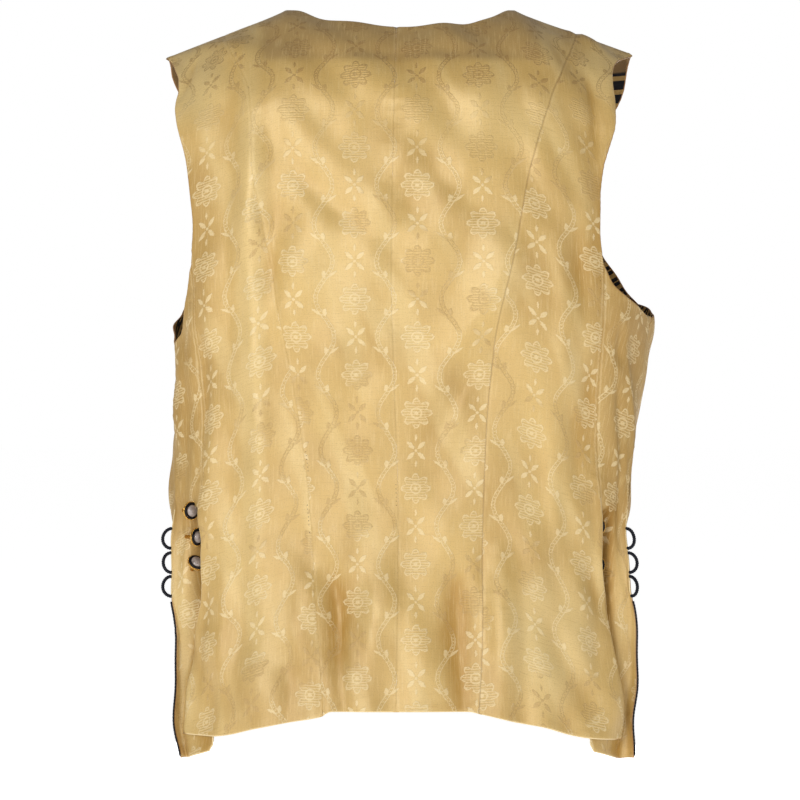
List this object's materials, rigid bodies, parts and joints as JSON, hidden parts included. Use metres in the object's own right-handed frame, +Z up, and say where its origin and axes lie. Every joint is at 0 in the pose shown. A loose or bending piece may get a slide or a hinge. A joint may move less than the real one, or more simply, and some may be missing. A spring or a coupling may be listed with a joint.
{
  "type": "silk waistcoat",
  "caption": "Sleeveless silk waistcoat with back vents, cord loops and pearl buttons, filled out as if worn.",
  "frame": {"origin": "between the two neck points, where the shoulder seams meet the neck and the wearer's shoulders hold the garment", "axes": "+Z up, +Y the way the wearer faces, +X to the wearer's right"},
  "size_m": [0.4367, 0.2479, 0.669],
  "materials": {
    "silk": "gold silk satin jacquard outside, black and gold striped silk inside",
    "dark_cord": "navy black cord",
    "gilt": "polished gilt cup with a black edge",
    "pearl": "pearl lustre"
  },
  "bodies": {
    "root": {"back_centre_left": "silk", "back_centre_right": "silk", "back_side_left": "silk", "back_side_right": "silk", "side_left": "silk", "side_right": "silk", "front_left": "silk", "front_right": "silk", "side_edge_left": "dark_cord", "side_edge_right": "dark_cord", "loop_left_1": "dark_cord", "loop_left_2": "dark_cord", "loop_left_3": "dark_cord", "loop_right_1": "dark_cord", "loop_right_2": "dark_cord", "loop_right_3": "dark_cord", "button_left_1": "gilt", "button_left_2": "gilt", "button_left_3": "gilt", "button_right_1": "gilt", "button_right_2": "gilt", "button_right_3": "gilt", "pearl_left_1": "pearl", "pearl_left_2": "pearl", "pearl_left_3": "pearl", "pearl_right_1": "pearl", "pearl_right_2": "pearl", "pearl_right_3": "pearl"}
  },
  "joints": []
}
